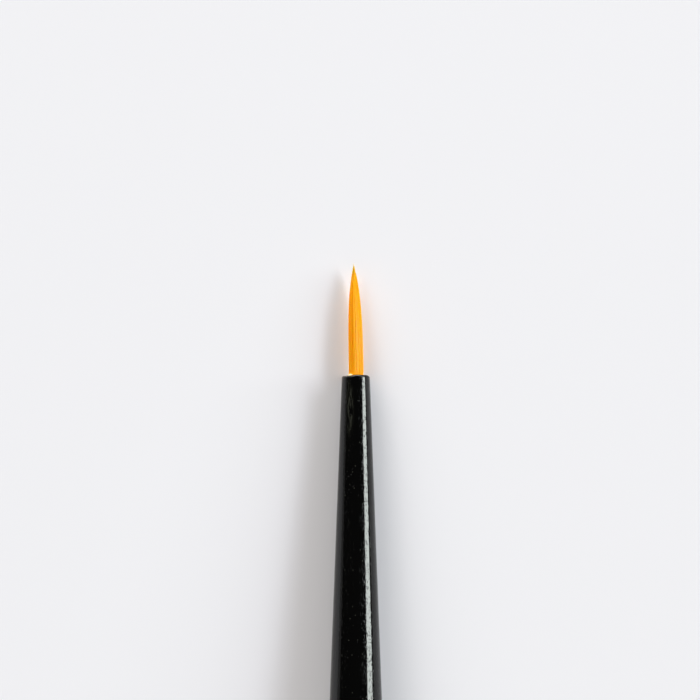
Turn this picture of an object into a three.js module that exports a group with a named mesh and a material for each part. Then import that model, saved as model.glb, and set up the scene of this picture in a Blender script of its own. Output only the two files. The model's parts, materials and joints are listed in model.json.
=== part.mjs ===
// A fine detail brush for model making, lying on its side with its tip towards +Y.
//
// Its pieces are made about the brush's own axis, the local Y axis, with the mouth of the
// ferrule at zero. A depth is a distance behind the mouth, towards the handle, and a reach is a
// distance ahead of it, towards the tip. The brush is then tipped nose down, because it rests on
// the lip of the ferrule and the belly of the handle, and moved so that the middle of its
// footprint is the origin. Millimetres, +Z up.

import * as THREE from "three";

// Tuft
const TUFT_REACH = 8;
const TUFT_RADIUS = 0.525;
const TUFT_ROOT_DEPTH = 9;
const TUFT_LEAN = -0.19; // how far the tip is set to one side
const LEAN_POWER = 1.2;
const POINT_POWER = 3.3; // the higher it is, the later the tuft turns in to its point
const POINT_SHARE = 0.03; // share of the tuft's width left at the very tip
const FILAMENT_RADIUS = 0.049;
const FILAMENT_GAP = 0.012;
const OUTER_FILAMENTS = { name: "outer_filament", count: 28, reachShare: 0.87 };
const INNER_FILAMENTS = { name: "inner_filament", count: 21, reachShare: 0.95 };
const FILAMENT_SIDES = 5;
const FILAMENT_STEPS = 7;
const CORE_SIDES = 12;
const CORE_STEPS = 11;
const STATION_POWER = 1.6; // the higher it is, the closer the steps come together at the tip

// Binding thread, wound round the tuft inside the resin
const THREAD_RADIUS = 0.06;
const THREAD_TURNS = 4;
const THREAD_PITCH = 0.14;
const THREAD_DEPTH = 6.4; // of its first turn
const THREAD_COIL_RADIUS = TUFT_RADIUS + THREAD_RADIUS + 0.045;
const THREAD_STEPS_PER_TURN = 12;
const THREAD_SIDES = 6; // an even number

// Ferrule: a seamless tapered tube, rolled in at the mouth and crimped twice onto the handle
const MOUTH_RADIUS = 1;
const CONE_SLOPE = 0.0375;
const CONE_DEPTH = 26; // where the taper starts to level off
const FERRULE_DEPTH = 32;
const WALL = 0.3;
const LIP_ROUND = 0.16;
const LIP_INNER_ROUND = 0.1;
const MOUTH_BORE_RADIUS = 0.56;
const LIP_DEPTH = 0.35; // length of the narrow part of the bore
const LIP_BACK_DEPTH = 1.2; // where the bore has opened out to the wall's own thickness
const CRIMP_DEPTHS = [27.2, 29.6];
const CRIMP_WIDTH = 0.9;
const CRIMP_SINK = 0.14;
const CRIMP_STEPS = 4;

// Resin that holds the roots of the tuft, a cup with its floor behind the roots
const PLUG_FRONT_DEPTH = 5;
const PLUG_BACK_DEPTH = 9.4;
const PLUG_CLEARANCE = 0.02;
const PLUG_BORE_RADIUS = 0.55;
const THREAD_ROOM = 0.03;

// Handle: a turned shank, with a tenon glued into the ferrule
const TENON_FRONT_DEPTH = 14;
const TENON_CHAMFER = 0.5;
const GLUE_FRONT_DEPTH = 15;
const GLUE_BACK_DEPTH = 31.6;
const GLUE_FILM = 0.06;
const GLUE_CLEARANCE = 0.01;
const SHOULDER_DEPTH = FERRULE_DEPTH + 0.03;
const SHOULDER_RADIUS = 2.12;
const SHOULDER_ROUND = 0.08;
const BELLY_DEPTH = 82;
const BELLY_RADIUS = 3.95;
const BELLY_FRONT_REACH = 16; // how far the fullness of the belly carries towards the ferrule
const BELLY_BACK_REACH = 15; // and towards the tail
const HANDLE_DEPTH = 160;
const TAIL_RADIUS = 1.2;
const TAIL_TAPER = 0.1; // a slight swell ahead of the tail
const TAIL_REACH = 56; // length of the slender part of the tail
const TAIL_ROUND = 0.5;
const SHANK_REACH = 26; // length of the straight part behind the shoulder
const SHANK_SWELL = 0.85;
const HANDLE_STEPS = 12; // in each half of the handle's outline

// Facets round every turned piece, with one of them facing straight down
const SIDES = 24;
const ARC_STEPS = 4;

function material(name, color, roughness, metalness) {
  return new THREE.MeshStandardMaterial({ name, color, roughness, metalness });
}

const filamentMaterial = () => material("golden_filament", 0xf5a020, 0.3, 0);
const enamelMaterial = () => material("black_enamelled_tube", 0x0a0a0b, 0.12, 0.2);
const lacquerMaterial = () => material("black_lacquered_wood", 0x0d0c0c, 0.2, 0);
const resinMaterial = () => material("clear_amber_resin", 0xd9a860, 0.25, 0);
const glueMaterial = () => material("dried_wood_glue", 0xe8dcc0, 0.5, 0);
const threadMaterial = () => material("waxed_thread", 0xe9e2d0, 0.8, 0);

function piece(name, geometry, look) {
  const mesh = new THREE.Mesh(geometry, look);
  mesh.name = name;
  return mesh;
}

const at = (radius, depth) => new THREE.Vector2(radius, -depth);

// A solid turned about the Y axis. The outline runs from its back end to its front end.
function turned(outline) {
  return new THREE.LatheGeometry(outline, SIDES, Math.PI / SIDES);
}

// Points of a circular arc, with the centre given as a radius and a depth. An angle of 0 points
// away from the axis and a quarter turn points forward.
function arc(centreRadius, centreDepth, round, from, to) {
  const points = [];
  for (let step = 0; step <= ARC_STEPS; step += 1) {
    const angle = THREE.MathUtils.lerp(from, to, step / ARC_STEPS);
    points.push(at(centreRadius + round * Math.cos(angle), centreDepth - round * Math.sin(angle)));
  }
  return points;
}

function crimpSink(depth) {
  const crimp = CRIMP_DEPTHS.find((centre) => Math.abs(depth - centre) < CRIMP_WIDTH / 2);
  if (crimp === undefined) return 0;
  return (CRIMP_SINK / 2) * (1 + Math.cos((2 * Math.PI * (depth - crimp)) / CRIMP_WIDTH));
}

// Outer radius of the ferrule: a straight cone that levels off towards the handle.
function ferruleRadius(depth) {
  const past = Math.max(0, depth - CONE_DEPTH);
  const levelling = (CONE_SLOPE * past * past) / (2 * (FERRULE_DEPTH - CONE_DEPTH));
  return MOUTH_RADIUS + CONE_SLOPE * depth - levelling - crimpSink(depth);
}

// Depths at which every wall that follows the ferrule is measured, from the back to the front.
// The pieces inside one another share them, so the gaps between their facets stay even.
function wallDepths(front, back) {
  const depths = [front, back];
  for (let depth = CONE_DEPTH; depth < FERRULE_DEPTH; depth += 1) {
    depths.push(depth);
  }
  for (const crimp of CRIMP_DEPTHS) {
    for (let step = 0; step <= CRIMP_STEPS; step += 1) {
      depths.push(crimp + CRIMP_WIDTH * (step / CRIMP_STEPS - 0.5));
    }
  }
  const outsideCrimps = (depth) =>
    CRIMP_DEPTHS.every((crimp) => Math.abs(depth - crimp) > CRIMP_WIDTH * 0.6);
  const isWhole = (depth) => Number.isInteger(depth) && depth > front && depth < back;
  return depths
    .filter((depth) => depth >= front && depth <= back)
    .filter((depth) => !isWhole(depth) || outsideCrimps(depth))
    .sort((a, b) => b - a);
}

// A wall at a constant distance inside the ferrule's outer face, from the back to the front.
function wall(inset, front, back) {
  return wallDepths(front, back).map((depth) => at(ferruleRadius(depth) - inset, depth));
}

function ferrule() {
  const lipRadius = ferruleRadius(LIP_ROUND) - LIP_ROUND;
  const innerLipRadius = MOUTH_BORE_RADIUS + LIP_INNER_ROUND;
  const quarter = Math.PI / 2;
  const bore = wall(WALL, LIP_BACK_DEPTH, FERRULE_DEPTH).reverse();
  const outline = [
    ...wall(0, LIP_ROUND, FERRULE_DEPTH).slice(0, -1),
    ...arc(lipRadius, LIP_ROUND, LIP_ROUND, 0, quarter),
    ...arc(innerLipRadius, LIP_INNER_ROUND, LIP_INNER_ROUND, quarter, 2 * quarter),
    at(MOUTH_BORE_RADIUS, LIP_DEPTH),
    ...bore,
  ];
  outline.push(outline[0].clone());
  return piece("ferrule", turned(outline), enamelMaterial());
}

function resinPlug() {
  const outside = wall(WALL + PLUG_CLEARANCE, PLUG_FRONT_DEPTH, PLUG_BACK_DEPTH);
  const threadRoomRadius = THREAD_COIL_RADIUS + THREAD_RADIUS + THREAD_ROOM;
  const threadFront = THREAD_DEPTH - THREAD_RADIUS - THREAD_ROOM;
  const threadBack = THREAD_DEPTH + THREAD_TURNS * THREAD_PITCH + THREAD_RADIUS + THREAD_ROOM;
  const cupDepth = TUFT_ROOT_DEPTH + PLUG_CLEARANCE;
  const outline = [
    at(0, PLUG_BACK_DEPTH),
    ...outside,
    at(PLUG_BORE_RADIUS, PLUG_FRONT_DEPTH),
    at(PLUG_BORE_RADIUS, threadFront),
    at(threadRoomRadius, threadFront),
    at(threadRoomRadius, threadBack),
    at(PLUG_BORE_RADIUS, threadBack),
    at(PLUG_BORE_RADIUS, cupDepth),
    at(0, cupDepth),
  ];
  return piece("resin_plug", turned(outline), resinMaterial());
}

class ThreadPath extends THREE.Curve {
  getPoint(share, target = new THREE.Vector3()) {
    const angle = share * THREAD_TURNS * 2 * Math.PI;
    const depth = THREAD_DEPTH + share * THREAD_TURNS * THREAD_PITCH;
    const x = THREAD_COIL_RADIUS * Math.cos(angle);
    const z = THREAD_COIL_RADIUS * Math.sin(angle);
    return target.set(x, -depth, z);
  }
}

function bindingThread() {
  const section = new THREE.Shape();
  section.absarc(0, 0, THREAD_RADIUS, 0, 2 * Math.PI);
  const geometry = new THREE.ExtrudeGeometry(section, {
    steps: THREAD_TURNS * THREAD_STEPS_PER_TURN,
    curveSegments: THREAD_SIDES / 2,
    extrudePath: new ThreadPath(),
  });
  return piece("binding_thread", geometry, threadMaterial());
}

function handleGlue() {
  const outside = wall(WALL + GLUE_CLEARANCE, GLUE_FRONT_DEPTH, GLUE_BACK_DEPTH);
  const inside = wall(WALL + GLUE_CLEARANCE + GLUE_FILM, GLUE_FRONT_DEPTH, GLUE_BACK_DEPTH);
  const outline = [...outside, ...inside.reverse(), outside[0].clone()];
  return piece("handle_glue", turned(outline), glueMaterial());
}

// The handle's outline behind the ferrule, from the tail's rim forward to the shoulder.
function shankOutline() {
  const swell = new THREE.CubicBezierCurve(
    at(BELLY_RADIUS, BELLY_DEPTH),
    at(BELLY_RADIUS, BELLY_DEPTH - BELLY_FRONT_REACH),
    at(SHOULDER_RADIUS + SHANK_SWELL, SHOULDER_DEPTH + SHANK_REACH),
    at(SHOULDER_RADIUS, SHOULDER_DEPTH + SHOULDER_ROUND),
  );
  const taper = new THREE.CubicBezierCurve(
    at(TAIL_RADIUS, HANDLE_DEPTH - TAIL_ROUND),
    at(TAIL_RADIUS + TAIL_TAPER, HANDLE_DEPTH - TAIL_REACH),
    at(BELLY_RADIUS, BELLY_DEPTH + BELLY_BACK_REACH),
    at(BELLY_RADIUS, BELLY_DEPTH),
  );
  return [...taper.getPoints(HANDLE_STEPS).slice(0, -1), ...swell.getPoints(HANDLE_STEPS)];
}

function handle() {
  const inset = WALL + 2 * GLUE_CLEARANCE + GLUE_FILM;
  const tenon = wall(inset, TENON_FRONT_DEPTH + TENON_CHAMFER, FERRULE_DEPTH);
  const tenonFaceRadius = tenon[tenon.length - 1].x - TENON_CHAMFER;
  const quarter = Math.PI / 2;
  const tailCentre = TAIL_RADIUS - TAIL_ROUND;
  const outline = [
    at(0, HANDLE_DEPTH),
    ...arc(tailCentre, HANDLE_DEPTH - TAIL_ROUND, TAIL_ROUND, -quarter, 0).slice(0, -1),
    ...shankOutline(),
    at(SHOULDER_RADIUS - SHOULDER_ROUND, SHOULDER_DEPTH),
    at(tenon[0].x, SHOULDER_DEPTH),
    ...tenon,
    at(tenonFaceRadius, TENON_FRONT_DEPTH),
    at(0, TENON_FRONT_DEPTH),
  ];
  return piece("handle", turned(outline), lacquerMaterial());
}

// Where one ring of vertices lies: the first at the roots, the rest closing up towards the end.
function stationReach(index, steps, endReach) {
  if (index === 0) return -TUFT_ROOT_DEPTH;
  const left = 1 - (index - 1) / (steps - 1);
  return endReach * (1 - Math.pow(left, STATION_POWER));
}

// Gathers a straight upright cylinder of unit height into the tuft: its rings of vertices go to
// their stations, and draw in and lean with the tuft's own outline.
function gather(geometry, steps, endReach) {
  const position = geometry.getAttribute("position");
  for (let vertex = 0; vertex < position.count; vertex += 1) {
    const index = Math.round((position.getY(vertex) + 0.5) * steps);
    const reach = stationReach(index, steps, endReach);
    const share = Math.max(0, reach / TUFT_REACH);
    const spread = 1 - (1 - POINT_SHARE) * Math.pow(share, POINT_POWER);
    const lean = TUFT_LEAN * Math.pow(share, LEAN_POWER);
    const x = position.getX(vertex) * spread + lean;
    const z = position.getZ(vertex) * spread;
    position.setXYZ(vertex, x, reach, z);
  }
  geometry.computeVertexNormals();
  return geometry;
}

function tuftCore(radius) {
  const stock = new THREE.CylinderGeometry(radius, radius, 1, CORE_SIDES, CORE_STEPS);
  return piece("tuft_core", gather(stock, CORE_STEPS, TUFT_REACH), filamentMaterial());
}

// One ring of separate filaments, spaced evenly round the tuft.
function filamentRing({ name, count, reachShare }, ringRadius) {
  const ring = new THREE.Group();
  for (let number = 1; number <= count; number += 1) {
    const angle = (2 * Math.PI * (number - 0.5)) / count;
    const stock = new THREE.CylinderGeometry(
      FILAMENT_RADIUS,
      FILAMENT_RADIUS,
      1,
      FILAMENT_SIDES,
      FILAMENT_STEPS,
    );
    stock.translate(ringRadius * Math.sin(angle), 0, ringRadius * Math.cos(angle));
    const geometry = gather(stock, FILAMENT_STEPS, TUFT_REACH * reachShare);
    ring.add(piece(`${name}_${String(number).padStart(2, "0")}`, geometry, filamentMaterial()));
  }
  return ring;
}

function tuft() {
  const group = new THREE.Group();
  const layer = 2 * FILAMENT_RADIUS + FILAMENT_GAP;
  const outerRing = TUFT_RADIUS - FILAMENT_RADIUS;
  const innerRing = outerRing - layer;
  group.add(filamentRing(OUTER_FILAMENTS, outerRing));
  group.add(filamentRing(INNER_FILAMENTS, innerRing));
  group.add(tuftCore(innerRing - FILAMENT_RADIUS - FILAMENT_GAP));
  return group;
}

// How far the nose drops: the line from the ferrule's lip that just touches the handle's belly.
// Both touch with the flat of a facet, which is nearer the axis than its corners are.
function restAngle() {
  const flat = Math.cos(Math.PI / SIDES);
  const lipRadius = ferruleRadius(LIP_ROUND);
  const slopes = shankOutline().map((point) => (point.x - lipRadius) / (-point.y - LIP_ROUND));
  return Math.atan(flat * Math.max(...slopes));
}

function brush() {
  const pieces = new THREE.Group();
  pieces.add(handle(), handleGlue(), ferrule(), resinPlug(), bindingThread(), tuft());
  pieces.rotation.x = -restAngle();
  const laid = new THREE.Group();
  laid.add(pieces);
  const box = new THREE.Box3().setFromObject(laid, true);
  const middle = box.getCenter(new THREE.Vector3());
  pieces.position.set(-middle.x, -middle.y, -box.min.z);
  return laid;
}

export default brush();
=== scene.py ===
"""A fine detail brush for model making, lying on its side with its tip towards +Y.

Its pieces are modelled standing on the brush's own axis, in millimetres: local Z is that axis,
zero at the mouth of the ferrule and positive towards the tip, and local X is the frame's X. A
depth is a distance behind the mouth, and a reach is a distance ahead of it. Each finished piece
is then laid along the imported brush, in metres.
"""

import json
import math
import random

import bpy
from mathutils import Matrix, Vector

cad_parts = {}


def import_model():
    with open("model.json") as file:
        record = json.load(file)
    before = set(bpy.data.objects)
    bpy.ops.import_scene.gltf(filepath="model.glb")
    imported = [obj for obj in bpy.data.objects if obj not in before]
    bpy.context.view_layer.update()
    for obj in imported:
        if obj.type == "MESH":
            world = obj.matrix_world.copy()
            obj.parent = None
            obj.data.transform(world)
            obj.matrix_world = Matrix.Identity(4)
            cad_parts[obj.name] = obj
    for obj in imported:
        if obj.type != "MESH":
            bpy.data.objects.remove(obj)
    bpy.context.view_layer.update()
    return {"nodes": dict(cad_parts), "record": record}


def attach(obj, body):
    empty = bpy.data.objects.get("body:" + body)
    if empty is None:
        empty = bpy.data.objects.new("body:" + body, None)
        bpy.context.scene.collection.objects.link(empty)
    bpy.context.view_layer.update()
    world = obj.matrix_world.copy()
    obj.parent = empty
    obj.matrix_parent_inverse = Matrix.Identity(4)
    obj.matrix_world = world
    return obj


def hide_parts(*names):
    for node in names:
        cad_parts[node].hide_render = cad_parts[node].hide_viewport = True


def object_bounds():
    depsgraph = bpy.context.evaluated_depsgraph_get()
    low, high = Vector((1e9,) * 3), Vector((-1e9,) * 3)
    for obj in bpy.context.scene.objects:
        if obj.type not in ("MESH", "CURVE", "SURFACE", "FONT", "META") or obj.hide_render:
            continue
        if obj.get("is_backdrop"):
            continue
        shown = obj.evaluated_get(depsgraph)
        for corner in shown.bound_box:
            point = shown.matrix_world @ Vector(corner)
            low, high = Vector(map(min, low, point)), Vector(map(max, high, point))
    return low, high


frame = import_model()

MM = 0.001
FULL_TURN = 2 * math.pi

# Facets round the turned pieces
FERRULE_SIDES = 128
HANDLE_SIDES = 96
HIDDEN_SIDES = 48
BEAD_SIDES = 64

# Driving sizes, in millimetres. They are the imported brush's own, but for three groups that only
# this model has: the tuft's side step and point, the filaments' sizes and rings, and the uneven
# lip with its bead.
HANDLE_DEPTH = 160.0  # from the mouth back to the handle's end
TUFT_REACH = 8.0
TUFT_RADIUS = 0.525
TUFT_ROOT_DEPTH = 9.0
TUFT_LEAN = -0.19  # how far the tip is set to one side
LEAN_POWER = 1.2
TUFT_SIDE = 0.035  # the tuft steps this much to the right just ahead of the mouth
TUFT_SIDE_SHARE = 0.04  # share of the tuft's reach over which it does
POINT_POWER = 3.5  # the higher it is, the later the tuft turns in to its point
POINT_SHARE = 0.06  # share of the tuft's width left at the very tip
FILAMENT_RADIUS = 0.057  # with its coat of gum
FILAMENT_TAPER = 0.9  # length over which a filament thins to its own point
ANGLE_SPREAD = 0.12  # of a filament round its ring, as a share of the spacing
BOW_SPREAD = 0.01
DRIFT_SPREAD = 0.06  # of a filament round the tuft, in radians
GUM_END_SHARE = 0.93  # share of the tuft's reach where the gum between filaments ends
GUM_END_POWER = 8
TUFT_RINGS = (
    # filaments, ring radius, shortest and longest share of the tuft's reach
    (28, 0.48, 0.8, 0.96),
    (21, 0.36, 0.88, 0.985),
    (14, 0.25, 0.95, 0.99),
    (7, 0.14, 0.97, 1.0),
    (1, 0.0, 1.01, 1.02),
)
SEED = 7
BUNDLE_SIDES = 224
BUNDLE_STEPS = 50
STATION_POWER = 1.5  # the higher it is, the closer the steps come together at the tip

MOUTH_RADIUS = 1.0
CONE_SLOPE = 0.0375
CONE_DEPTH = 26.0  # where the taper starts to level off
FERRULE_DEPTH = 32.0
WALL = 0.3
LIP_ROUND = 0.16
LIP_INNER_ROUND = 0.1
MOUTH_BORE_RADIUS = 0.56
LIP_DEPTH = 0.35  # length of the narrow part of the bore
LIP_BACK_DEPTH = 1.2  # where the bore has opened out to the wall's own thickness
CRIMP_DEPTHS = (27.2, 29.6)
CRIMP_WIDTH = 0.9
CRIMP_SINK = 0.14

LIP_DENT = 0.05
LIP_DENT_SIDE = (-0.45, -0.89)  # upper left: local -X is left and local -Y is up
LIP_DENT_POWER = 3  # the higher it is, the narrower the dent
LIP_RIPPLE = 0.03
LIP_RIPPLE_WAVES = 5
LIP_RIPPLE_START = 0.7
LIP_BOW = 0.05
LIP_BOW_START = 2.6
BEAD_OUTLINE = (
    # radius, depth
    (0.5, 0.14),
    (0.64, 0.08),
    (0.66, 0.02),
    (0.63, -0.02),
    (0.6, -0.05),
    (0.575, -0.085),
    (0.5, -0.1),
    (0.5, 0.14),
)
BEAD_SIDE = (-0.74, -0.67)
BEAD_FLOOR = -0.14
BEAD_LOW_SHARE = 0.25  # height left on the bead's low side
BEAD_POWER = 6

PLUG_FRONT_DEPTH = 5.0
PLUG_BACK_DEPTH = 9.4
PLUG_BORE_RADIUS = 0.55
PLUG_CHAMFER = 0.12
CLEARANCE = 0.02
THREAD_RADIUS = 0.06
THREAD_TURNS = 4
THREAD_PITCH = 0.14
THREAD_DEPTH = 6.4
THREAD_COIL_RADIUS = TUFT_RADIUS + THREAD_RADIUS + 0.045
THREAD_ROOM = 0.03

TENON_FRONT_DEPTH = 14.0
TENON_CHAMFER = 0.5
GLUE_FRONT_DEPTH = 15.0
GLUE_BACK_DEPTH = 31.6
GLUE_FILM = 0.06
GLUE_CLEARANCE = 0.01
TENON_INSET = WALL + 0.08  # the glue film with a clearance on either side
SHOULDER_DEPTH = FERRULE_DEPTH + 0.03
SHOULDER_RADIUS = 2.12
SHOULDER_ROUND = 0.08
BELLY_DEPTH = 82.0
BELLY_RADIUS = 3.95
BELLY_FRONT_REACH = 16.0  # how far the fullness of the belly carries towards the ferrule
BELLY_BACK_REACH = 15.0  # and towards the tail
TAIL_RADIUS = 1.2
TAIL_TAPER = 0.1
TAIL_REACH = 56.0
TAIL_ROUND = 0.5
SHANK_REACH = 26.0
SHANK_SWELL = 0.85

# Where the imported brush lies: its handle's end and the way its axis points.
end_mount = next(m for m in frame["record"]["mounts"] if m["name"] == "handle_end")
TAIL = Vector(end_mount["pos_m"])
AHEAD = -Vector(end_mount["axis"]).normalized()
MOUTH = TAIL + AHEAD * HANDLE_DEPTH * MM


def laid_matrix():
    """From a piece standing on its axis in millimetres to the brush as it lies, in metres."""
    right = Vector((1, 0, 0))
    down = AHEAD.cross(right)
    turn = Matrix((right, down, AHEAD)).transposed().to_4x4()
    return Matrix.Translation(MOUTH) @ turn @ Matrix.Scale(MM, 4)


# Making pieces


def select_nothing():
    bpy.ops.object.select_all(action="DESELECT")


def edit_mode(on):
    bpy.ops.object.mode_set(mode="EDIT" if on else "OBJECT")


def named(name):
    piece = bpy.context.active_object
    piece.name = name
    piece.data.name = name
    return piece


def turned(name, outline, sides):
    """Draws an outline of (radius, depth) points and spins it round the axis."""
    select_nothing()
    bpy.ops.mesh.primitive_plane_add(size=1)
    piece = named(name)
    edit_mode(True)
    bpy.ops.mesh.merge(type="CENTER")
    here = Vector((0, 0, 0))
    for number, (radius, depth) in enumerate(outline):
        there = Vector((radius, 0, -depth))
        step = {"value": there - here}
        if number == 0:
            bpy.ops.transform.translate(**step)
        else:
            bpy.ops.mesh.extrude_region_move(TRANSFORM_OT_translate=step)
        here = there
    bpy.ops.mesh.select_all(action="SELECT")
    bpy.ops.mesh.spin(steps=sides, angle=FULL_TURN, center=(0, 0, 0), axis=(0, 0, 1))
    bpy.ops.mesh.select_all(action="SELECT")
    bpy.ops.mesh.remove_doubles(threshold=0.0002)
    bpy.ops.mesh.normals_make_consistent(inside=False)
    edit_mode(False)
    return piece


def lay(piece, *nodes, slot, material, smooth_angle=35):
    """Finishes a piece: lays it along the brush and ties it to the frame."""
    select_nothing()
    piece.select_set(True)
    bpy.context.view_layer.objects.active = piece
    piece.matrix_world = laid_matrix()
    bpy.ops.object.transform_apply(location=True, rotation=True, scale=True)
    bpy.ops.object.shade_smooth_by_angle(angle=math.radians(smooth_angle))
    piece.data.materials.clear()
    piece.data.materials.append(material)
    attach(piece, "root")
    if nodes:
        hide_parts(*nodes)
    return piece


# Outlines, as lists of (radius, depth)


def arc(centre_radius, centre_depth, round_radius, start, end, steps=8):
    """A circular arc. An angle of 0 points away from the axis, a quarter turn forward."""
    points = []
    for step in range(steps + 1):
        angle = start + (end - start) * step / steps
        radius = centre_radius + round_radius * math.cos(angle)
        depth = centre_depth - round_radius * math.sin(angle)
        points.append((radius, depth))
    return points


def bezier(a, b, c, d, steps=40):
    points = []
    for step in range(steps + 1):
        t = step / steps
        weights = ((1 - t) ** 3, 3 * t * (1 - t) ** 2, 3 * t * t * (1 - t), t**3)
        points.append(tuple(sum(w * p[i] for w, p in zip(weights, (a, b, c, d))) for i in (0, 1)))
    return points


def ferrule_radius(depth):
    """A straight cone that levels off towards the handle, with two rolled crimps."""
    past = max(0.0, depth - CONE_DEPTH)
    radius = MOUTH_RADIUS + CONE_SLOPE * depth
    radius -= CONE_SLOPE * past * past / (2 * (FERRULE_DEPTH - CONE_DEPTH))
    for crimp in CRIMP_DEPTHS:
        if abs(depth - crimp) < CRIMP_WIDTH / 2:
            radius -= CRIMP_SINK / 2 * (1 + math.cos(FULL_TURN * (depth - crimp) / CRIMP_WIDTH))
    return radius


def wall(inset, front, back):
    """A wall at a constant distance inside the ferrule's face, from the back to the front."""
    step, crimp_step = 0.5, 0.075
    depths = [front]
    while depths[-1] < back:
        near_crimp = any(abs(depths[-1] - crimp) < CRIMP_WIDTH for crimp in CRIMP_DEPTHS)
        depths.append(min(back, depths[-1] + (crimp_step if near_crimp else step)))
    return [(ferrule_radius(depth) - inset, depth) for depth in reversed(depths)]


def ferrule_outline():
    quarter = math.pi / 2
    lip_radius = ferrule_radius(LIP_ROUND) - LIP_ROUND
    bore_round = LIP_INNER_ROUND
    outline = wall(0, LIP_ROUND, FERRULE_DEPTH)[:-1]
    outline += arc(lip_radius, LIP_ROUND, LIP_ROUND, 0, quarter)
    outline += arc(MOUTH_BORE_RADIUS + bore_round, bore_round, bore_round, quarter, 2 * quarter)
    outline.append((MOUTH_BORE_RADIUS, LIP_DEPTH))
    outline += reversed(wall(WALL, LIP_BACK_DEPTH, FERRULE_DEPTH))
    return outline + outline[:1]


def handle_outline():
    quarter = math.pi / 2
    tenon = wall(TENON_INSET, TENON_FRONT_DEPTH + TENON_CHAMFER, FERRULE_DEPTH)
    taper = bezier(
        (TAIL_RADIUS, HANDLE_DEPTH - TAIL_ROUND),
        (TAIL_RADIUS + TAIL_TAPER, HANDLE_DEPTH - TAIL_REACH),
        (BELLY_RADIUS, BELLY_DEPTH + BELLY_BACK_REACH),
        (BELLY_RADIUS, BELLY_DEPTH),
    )
    swell = bezier(
        (BELLY_RADIUS, BELLY_DEPTH),
        (BELLY_RADIUS, BELLY_DEPTH - BELLY_FRONT_REACH),
        (SHOULDER_RADIUS + SHANK_SWELL, SHOULDER_DEPTH + SHANK_REACH),
        (SHOULDER_RADIUS, SHOULDER_DEPTH + SHOULDER_ROUND),
    )
    tail_depth = HANDLE_DEPTH - TAIL_ROUND
    outline = [(0.0, HANDLE_DEPTH)]
    outline += arc(TAIL_RADIUS - TAIL_ROUND, tail_depth, TAIL_ROUND, -quarter, 0)[:-1]
    outline += taper[:-1] + swell[:-1]
    edge_radius = SHOULDER_RADIUS - SHOULDER_ROUND
    edge_depth = SHOULDER_DEPTH + SHOULDER_ROUND
    outline += arc(edge_radius, edge_depth, SHOULDER_ROUND, 0, quarter, 5)
    outline.append((tenon[0][0], SHOULDER_DEPTH))
    outline += tenon
    outline.append((tenon[-1][0] - TENON_CHAMFER, TENON_FRONT_DEPTH))
    outline.append((0.0, TENON_FRONT_DEPTH))
    return outline


def glue_outline():
    inset = WALL + GLUE_CLEARANCE
    outer = wall(inset, GLUE_FRONT_DEPTH, GLUE_BACK_DEPTH)
    inner = wall(inset + GLUE_FILM, GLUE_FRONT_DEPTH, GLUE_BACK_DEPTH)
    return outer + inner[::-1] + outer[:1]


def plug_outline():
    """A cup with its floor behind the roots, and a groove that leaves room for the thread."""
    room = THREAD_COIL_RADIUS + THREAD_RADIUS + THREAD_ROOM
    front = THREAD_DEPTH - THREAD_RADIUS - THREAD_ROOM
    back = THREAD_DEPTH + THREAD_TURNS * THREAD_PITCH + THREAD_RADIUS + THREAD_ROOM
    root = TUFT_ROOT_DEPTH + CLEARANCE
    outline = [(0.0, PLUG_BACK_DEPTH)]
    outline += wall(WALL + CLEARANCE, PLUG_FRONT_DEPTH, PLUG_BACK_DEPTH)
    outline += [(PLUG_BORE_RADIUS, PLUG_FRONT_DEPTH + PLUG_CHAMFER), (PLUG_BORE_RADIUS, front)]
    outline += [(room, front), (room, back)]
    outline += [(PLUG_BORE_RADIUS, back), (PLUG_BORE_RADIUS, root), (0.0, root)]
    return outline


def uneven_lip(ferrule):
    """Makes the lip uneven: dented on the upper left, rippled and slightly bowed."""
    for vertex in ferrule.data.vertices:
        depth = -vertex.co.z
        if depth > LIP_DEPTH:
            continue
        x, y = vertex.co.x, vertex.co.y
        near_mouth = 1 - depth / LIP_DEPTH
        facing = (x * LIP_DENT_SIDE[0] + y * LIP_DENT_SIDE[1]) / MOUTH_RADIUS
        angle = math.atan2(y, x)
        ripple = (1 + math.sin(LIP_RIPPLE_WAVES * angle + LIP_RIPPLE_START)) / 2
        vertex.co.z -= LIP_DENT * max(0.0, facing) ** LIP_DENT_POWER * near_mouth
        vertex.co.z -= LIP_RIPPLE * ripple * near_mouth
        vertex.co.z += LIP_BOW * math.cos(2 * angle + LIP_BOW_START) * near_mouth
    return ferrule


def uneven_bead(bead):
    """A bead in the corner between the filaments and the lip, highest on the upper left."""
    for vertex in bead.data.vertices:
        x, y = vertex.co.x, vertex.co.y
        facing = (x * BEAD_SIDE[0] + y * BEAD_SIDE[1]) / math.hypot(x, y)
        share = BEAD_LOW_SHARE + (1 - BEAD_LOW_SHARE) * max(0.0, facing) ** BEAD_POWER
        vertex.co.z = BEAD_FLOOR + (vertex.co.z - BEAD_FLOOR) * share
    return bead


# The tuft


def filament_plan(rng):
    """Where each filament runs: its ring, angle, end, bow, drift round the tuft and shade."""
    plan = []
    for count, ring_radius, shortest, longest in TUFT_RINGS:
        for number in range(count):
            angle = FULL_TURN * (number + 0.5 + rng.uniform(-ANGLE_SPREAD, ANGLE_SPREAD)) / count
            end_reach = TUFT_REACH * rng.uniform(shortest, longest)
            bow = rng.uniform(-BOW_SPREAD, BOW_SPREAD)
            drift = rng.uniform(-DRIFT_SPREAD, DRIFT_SPREAD)
            plan.append((ring_radius, angle, end_reach, bow, drift, rng.random()))
    return plan


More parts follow.
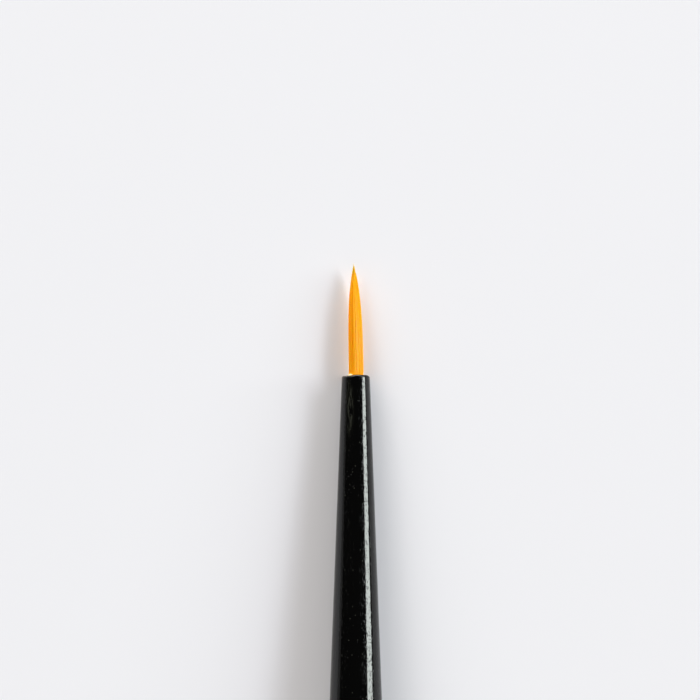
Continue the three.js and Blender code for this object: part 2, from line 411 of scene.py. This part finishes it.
def outline_radius(direction, share, plan):
    """How far the bundle reaches in one direction, and the shade of the filament found there."""
    reach = share * TUFT_REACH
    spread = 1 - (1 - POINT_SHARE) * share**POINT_POWER
    gum_left = max(0.0, 1 - (share / GUM_END_SHARE) ** GUM_END_POWER)
    gum = TUFT_RINGS[0][1] * spread * gum_left
    farthest, shade = gum, 0.0
    for ring_radius, angle, end_reach, bow, drift, filament_shade in plan:
        left = (end_reach - reach) / FILAMENT_TAPER
        if left <= 0:
            continue
        radius = FILAMENT_RADIUS * spread * min(1.0, left) ** 0.5
        swell = math.sin(math.pi * share)
        centre = (ring_radius + bow * swell) * spread
        off = direction - angle - drift * swell
        aside = centre * math.sin(off)
        if abs(aside) >= radius:
            continue
        edge = centre * math.cos(off) + math.sqrt(radius * radius - aside * aside)
        if edge > farthest:
            farthest, shade = edge, filament_shade
    return farthest, shade


def filament_bundle(name, plan):
    """The tuft's filaments, held side by side by gum, as one body with every filament's cap."""
    select_nothing()
    bpy.ops.mesh.primitive_circle_add(vertices=BUNDLE_SIDES, radius=1, fill_type="NGON")
    piece = named(name)
    edit_mode(True)
    bpy.ops.mesh.select_all(action="SELECT")
    rise = {"value": (0, 0, 1 / BUNDLE_STEPS)}
    for _ in range(BUNDLE_STEPS):
        bpy.ops.mesh.extrude_region_move(TRANSFORM_OT_translate=rise)
    edit_mode(False)
    tone = piece.data.attributes.new("tone", "FLOAT", "POINT")
    for vertex in piece.data.vertices:
        step = round(vertex.co.z * BUNDLE_STEPS)
        left = 1 - max(0, step - 1) / (BUNDLE_STEPS - 1)
        share = 1 - left**STATION_POWER
        reach = -TUFT_ROOT_DEPTH if step == 0 else share * TUFT_REACH
        direction = math.atan2(vertex.co.x, vertex.co.y)
        radius, shade = outline_radius(direction, share, plan)
        lean = TUFT_LEAN * share**LEAN_POWER + TUFT_SIDE * min(1.0, share / TUFT_SIDE_SHARE)
        vertex.co = (radius * math.sin(direction) + lean, radius * math.cos(direction), reach)
        tone.data[vertex.index].value = shade
    edit_mode(True)
    bpy.ops.mesh.select_all(action="SELECT")
    bpy.ops.mesh.normals_make_consistent(inside=False)
    edit_mode(False)
    return piece


def nodes_named(start):
    return [node for node in frame["nodes"] if node.startswith(start)]


# Materials


def linear(hex_colour):
    """An sRGB hex colour as linear RGBA."""
    values = [int(hex_colour[i : i + 2], 16) / 255 for i in (1, 3, 5)]
    return [v / 12.92 if v <= 0.04045 else ((v + 0.055) / 1.055) ** 2.4 for v in values] + [1.0]


def node(tree, kind, links=None, **settings):
    """Adds a node, sets its properties and its inputs, and links its inputs to other outputs."""
    made = tree.nodes.new(kind)
    for key, value in settings.items():
        if key[0].islower():
            setattr(made, key, value)
        else:
            made.inputs[key.replace("_", " ")].default_value = value
    for key, output in (links or {}).items():
        tree.links.new(output, made.inputs[key])
    return made


def new_material(name):
    material = bpy.data.materials.new(name)
    material.use_nodes = True
    tree = material.node_tree
    shader = tree.nodes["Principled BSDF"]
    return material, tree, shader


def two_tone(tree, value, first, second):
    """A ramp from one colour to another."""
    made = node(tree, "ShaderNodeValToRGB", {"Fac": value})
    made.color_ramp.elements[0].color = linear(first)
    made.color_ramp.elements[1].color = linear(second)
    return made


def stretched(tree, place, scale, **settings):
    """A place measured in steps of the given sizes, in millimetres."""
    steps = Vector(scale) * MM
    settings = {"vector_type": "TEXTURE", "Scale": steps, **settings}
    return node(tree, "ShaderNodeMapping", {"Vector": place}, **settings).outputs["Vector"]


def ranged(tree, value, **settings):
    """A value spread from one range over another."""
    return node(tree, "ShaderNodeMapRange", {"Value": value}, **settings).outputs["Result"]


def golden_filament():
    """Drawn nylon filament, dyed golden: clear enough that light passes through the whole tuft,
    so its far side glows a deeper orange, with a narrow shine on every filament."""
    material, tree, shader = new_material("drawn_nylon_filament")
    tone = node(tree, "ShaderNodeAttribute", attribute_name="tone")
    colour = two_tone(tree, tone.outputs["Fac"], "#F4A008", "#F5B42A")
    tree.links.new(colour.outputs["Color"], shader.inputs["Base Color"])
    shader.inputs["Roughness"].default_value = 0.16
    shader.inputs["IOR"].default_value = 1.53
    shader.inputs["Specular IOR Level"].default_value = 0.09
    shader.inputs["Subsurface Weight"].default_value = 1.0
    shader.inputs["Subsurface Radius"].default_value = (0.8, 0.4, 0.15)
    shader.inputs["Subsurface Scale"].default_value = 0.16 * MM
    return material


def enamelled_tube():
    """Stoved black enamel: sprayed on the metal tube and baked, so it is glassy, with a faint peel,
    fine pits, a few grains of dust under the gloss and a dry smear of paint near the mouth."""
    material, tree, shader = new_material("stoved_black_enamel")
    place = node(tree, "ShaderNodeTexCoord").outputs["Object"]
    peel = node(tree, "ShaderNodeTexNoise", {"Vector": place}, Scale=1 / (0.55 * MM), Detail=2.0)
    peel_bump = node(tree, "ShaderNodeBump", {"Height": peel.outputs["Fac"]}, Distance=0.010 * MM)
    grit = node(tree, "ShaderNodeTexNoise", {"Vector": place}, Scale=1 / (0.13 * MM), Detail=1.0)
    pit = ranged(tree, grit.outputs["Fac"], From_Min=0.60, From_Max=0.72)
    pit_links = {"Height": pit, "Normal": peel_bump.outputs["Normal"]}
    pit_bump = node(tree, "ShaderNodeBump", pit_links, Distance=0.006 * MM)
    tree.links.new(pit_bump.outputs["Normal"], shader.inputs["Normal"])

    centre = MOUTH + Vector((-0.42, -2.3, 1.0)) * MM
    smear_place = stretched(tree, place, (0.34, 2.3, 3.0), Location=centre)
    away = node(tree, "ShaderNodeVectorMath", {"Vector": smear_place}, operation="LENGTH")
    near = ranged(tree, away.outputs["Value"], From_Min=1.0, From_Max=0.2)
    streak_place = stretched(tree, place, (0.12, 0.8, 0.4))
    streak = node(tree, "ShaderNodeTexNoise", {"Vector": streak_place}, Scale=1.0, Detail=3.0)
    thick = ranged(tree, streak.outputs["Fac"], From_Min=0.42, From_Max=0.62)
    smear = node(tree, "ShaderNodeMath", {0: near, 1: thick}, operation="MULTIPLY")

    speck = node(tree, "ShaderNodeTexVoronoi", {"Vector": place}, Scale=1 / (0.45 * MM))
    dust = ranged(tree, speck.outputs["Distance"], From_Min=0.11, From_Max=0.06)
    marks = {0: smear.outputs["Value"], 1: dust}
    marked = node(tree, "ShaderNodeMath", marks, operation="MAXIMUM").outputs["Value"]
    colour = two_tone(tree, marked, "#040404", "#2E3029")
    tree.links.new(colour.outputs["Color"], shader.inputs["Base Color"])
    gloss = ranged(tree, marked, To_Min=0.03, To_Max=0.4)
    tree.links.new(gloss, shader.inputs["Roughness"])
    shader.inputs["IOR"].default_value = 1.38
    return material


def lacquered_wood():
    """Turned wood dipped in black lacquer: a deep gloss, through which the long grain shows as a
    faint ripple, rubbed a little duller in patches where fingers hold it."""
    material, tree, shader = new_material("black_lacquered_beech")
    place = node(tree, "ShaderNodeTexCoord").outputs["Object"]
    grain_place = stretched(tree, place, (0.35, 9.0, 0.35))
    grain = node(tree, "ShaderNodeTexNoise", {"Vector": grain_place}, Scale=1.0, Detail=3.0)
    grain_bump = node(tree, "ShaderNodeBump", {"Height": grain.outputs["Fac"]}, Distance=0.008 * MM)
    tree.links.new(grain_bump.outputs["Normal"], shader.inputs["Normal"])
    wear = node(tree, "ShaderNodeTexNoise", {"Vector": place}, Scale=1 / (6 * MM), Detail=4.0)
    dull = {"From_Min": 0.45, "From_Max": 0.75, "To_Min": 0.06, "To_Max": 0.22}
    tree.links.new(ranged(tree, wear.outputs["Fac"], **dull), shader.inputs["Roughness"])
    colour = two_tone(tree, grain.outputs["Fac"], "#060505", "#140F0D")
    tree.links.new(colour.outputs["Color"], shader.inputs["Base Color"])
    shader.inputs["IOR"].default_value = 1.5
    return material


def clouded(name, thin, thick, patch, roughness, lump):
    """A cast or dried adhesive: cloudy patches of two colours and a lumpy skin. The sizes of a
    patch and of a lump are in millimetres."""
    material, tree, shader = new_material(name)
    place = node(tree, "ShaderNodeTexCoord").outputs["Object"]
    cloud = node(tree, "ShaderNodeTexNoise", {"Vector": place}, Scale=1 / (patch * MM), Detail=4.0)
    colour = two_tone(tree, cloud.outputs["Fac"], thin, thick)
    colour.color_ramp.elements[0].position = 0.35
    colour.color_ramp.elements[1].position = 0.65
    tree.links.new(colour.outputs["Color"], shader.inputs["Base Color"])
    skin = node(tree, "ShaderNodeBump", {"Height": cloud.outputs["Fac"]}, Distance=lump * MM)
    tree.links.new(skin.outputs["Normal"], shader.inputs["Normal"])
    shader.inputs["Roughness"].default_value = roughness
    shader.inputs["Subsurface Weight"].default_value = 0.5
    shader.inputs["Subsurface Radius"].default_value = (1.0, 0.7, 0.4)
    shader.inputs["Subsurface Scale"].default_value = 0.1 * MM
    return material


def amber_resin():
    """Epoxy poured round the roots and cured: honey coloured, glossy, slightly clouded."""
    return clouded("cured_epoxy_resin", "#C98F42", "#E3B468", 0.8, 0.12, 0.01)


def mouth_resin_with_painted_glint():
    """The same epoxy where it wicked up to the mouth: thin and shiny. Its pale cream colour is
    partly the resin's own and partly a painted glint, standing in for the light caught at the
    tuft's base.
    """
    return clouded("wicked_epoxy_with_painted_glint", "#D9B57A", "#F4DFB8", 0.15, 0.1, 0.004)


def wood_glue():
    """Dried wood glue: a cream film with a satin skin and darker thin spots."""
    return clouded("dried_wood_glue", "#CDB98E", "#EDE2C8", 0.7, 0.42, 0.02)


def waxed_thread():
    """Waxed twisted thread: off-white plies that cross its run, with the dull sheen of wax."""
    material, tree, shader = new_material("waxed_twisted_thread")
    place = node(tree, "ShaderNodeTexCoord").outputs["Object"]
    ply = {"Scale": 1 / (0.35 * MM), "Distortion": 1.5, "Detail": 2.0}
    twist = node(tree, "ShaderNodeTexWave", {"Vector": place}, bands_direction="DIAGONAL", **ply)
    colour = two_tone(tree, twist.outputs["Fac"], "#B9AC8C", "#F1EBDB")
    tree.links.new(colour.outputs["Color"], shader.inputs["Base Color"])
    ridge = node(tree, "ShaderNodeBump", {"Height": twist.outputs["Fac"]}, Distance=0.015 * MM)
    tree.links.new(ridge.outputs["Normal"], shader.inputs["Normal"])
    shader.inputs["Roughness"].default_value = 0.55
    shader.inputs["Sheen Weight"].default_value = 0.2
    return material


# The stage


CAMERA_FIELD = 50.0  # millimetres of paper from side to side
CAMERA_DISTANCE = 278.0
CAMERA_ASIDE = -0.414
CAMERA_AHEAD = 1.8
SENSOR_WIDTH = 36.0
FLOOR_SIZE = 3  # in metres

LIGHTS = (
    # name, azimuth, elevation, width and height in degrees, radiance, colour
    ("window_edge", 4.8, 23, 9, 26, 22.0, "#F2FAF6"),  # draws the bright strip on the ferrule
    ("window", 30, 31, 30, 12, 12.5, "#EFF4FF"),
    ("far_window", 87, 13, 55, 22, 13.2, "#FFFAF3"),
    ("side_window", 125, 24, 40, 34, 5.4, "#FFFCF8"),
    ("left_wall", 180, 7, 40, 13, 0.4, "#FFFFFF"),
    ("wall_behind", 250, 30, 70, 40, 0.35, "#FFFFFF"),
)


def camera():
    """Straight above the tuft, looking down."""
    data = bpy.data.cameras.new("camera")
    data.sensor_width = SENSOR_WIDTH
    data.lens = SENSOR_WIDTH * CAMERA_DISTANCE / CAMERA_FIELD
    data.clip_start = 0.01
    data.clip_end = 100
    made = bpy.data.objects.new("camera", data)
    bpy.context.collection.objects.link(made)
    made.location = MOUTH + Vector((CAMERA_ASIDE, CAMERA_AHEAD, CAMERA_DISTANCE)) * MM
    bpy.context.scene.camera = made


def area_light(name, azimuth, elevation, width, height, radiance, colour, distance=4.0):
    """A soft rectangle that faces the brush; azimuth runs from +X towards +Y, in degrees."""
    data = bpy.data.lights.new(name, "AREA")
    data.shape = "RECTANGLE"
    data.size = 2 * distance * math.tan(math.radians(width) / 2)
    data.size_y = 2 * distance * math.tan(math.radians(height) / 2)
    data.energy = radiance * math.pi * data.size * data.size_y
    data.color = linear(colour)[:3]
    made = bpy.data.objects.new(name, data)
    bpy.context.collection.objects.link(made)
    a, e = math.radians(azimuth), math.radians(elevation)
    out = Vector((math.cos(e) * math.cos(a), math.cos(e) * math.sin(a), math.sin(e)))
    made.location = Vector((0, MOUTH.y, 0)) + out * distance
    made.rotation_euler = out.to_track_quat("Z", "Y").to_euler()
    made.visible_camera = False


def floor():
    select_nothing()
    bpy.ops.mesh.primitive_plane_add(size=FLOOR_SIZE, location=(0, 0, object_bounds()[0].z))
    made = named("floor")
    material, _, shader = new_material("plain_paper")
    shader.inputs["Base Color"].default_value = linear("#EFEFF3")
    shader.inputs["Roughness"].default_value = 0.9
    shader.inputs["Specular IOR Level"].default_value = 0.0
    made.data.materials.append(material)
    made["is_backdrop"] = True


def world():
    """A dim room. Whoever looks along the table sees a pale wall, which lights nothing."""
    made = bpy.data.worlds.new("room")
    made.use_nodes = True
    tree = made.node_tree
    background = tree.nodes["Background"]
    background.inputs["Color"].default_value = (1, 1, 1, 1)
    background.inputs["Strength"].default_value = 0.03
    wall = node(tree, "ShaderNodeBackground", Color=linear("#E4E4E6"), Strength=1.0)
    seen = node(tree, "ShaderNodeLightPath")
    mixed = node(tree, "ShaderNodeMixShader")
    tree.links.new(seen.outputs["Is Camera Ray"], mixed.inputs[0])
    tree.links.new(background.outputs["Background"], mixed.inputs[1])
    tree.links.new(wall.outputs["Background"], mixed.inputs[2])
    tree.links.new(mixed.outputs["Shader"], tree.nodes["World Output"].inputs["Surface"])
    bpy.context.scene.world = made


def build():
    ferrule = uneven_lip(turned("ferrule_tube", ferrule_outline(), FERRULE_SIDES))
    lay(ferrule, "ferrule", slot="enamelled_tube", material=enamelled_tube())
    handle = turned("turned_handle", handle_outline(), HANDLE_SIDES)
    lay(handle, "handle", slot="lacquered_wood", material=lacquered_wood())
    film = turned("glue_film", glue_outline(), HIDDEN_SIDES)
    lay(film, "handle_glue", slot="wood_glue", material=wood_glue())
    cup = turned("resin_cup", plug_outline(), HIDDEN_SIDES)
    lay(cup, "resin_plug", slot="amber_resin", material=amber_resin())
    # The bead's pale cream colour is partly a painted glint, standing in for the light caught at
    # the base of the tuft.
    bead = uneven_bead(turned("mouth_resin_with_painted_glint", BEAD_OUTLINE, BEAD_SIDES))
    lay(bead, slot="amber_resin", material=mouth_resin_with_painted_glint(), smooth_angle=60)

    bundle = filament_bundle("filament_bundle", filament_plan(random.Random(SEED)))
    replaced = nodes_named("outer_filament") + nodes_named("inner_filament") + ["tuft_core"]
    lay(bundle, *replaced, slot="golden_filament", material=golden_filament())

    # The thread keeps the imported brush's own shape.
    thread = frame["nodes"]["binding_thread"]
    thread.data.materials.clear()
    thread.data.materials.append(waxed_thread())


build()
floor()
world()
camera()
for light in LIGHTS:
    area_light(*light)
bpy.context.scene.view_settings.view_transform = "Standard"
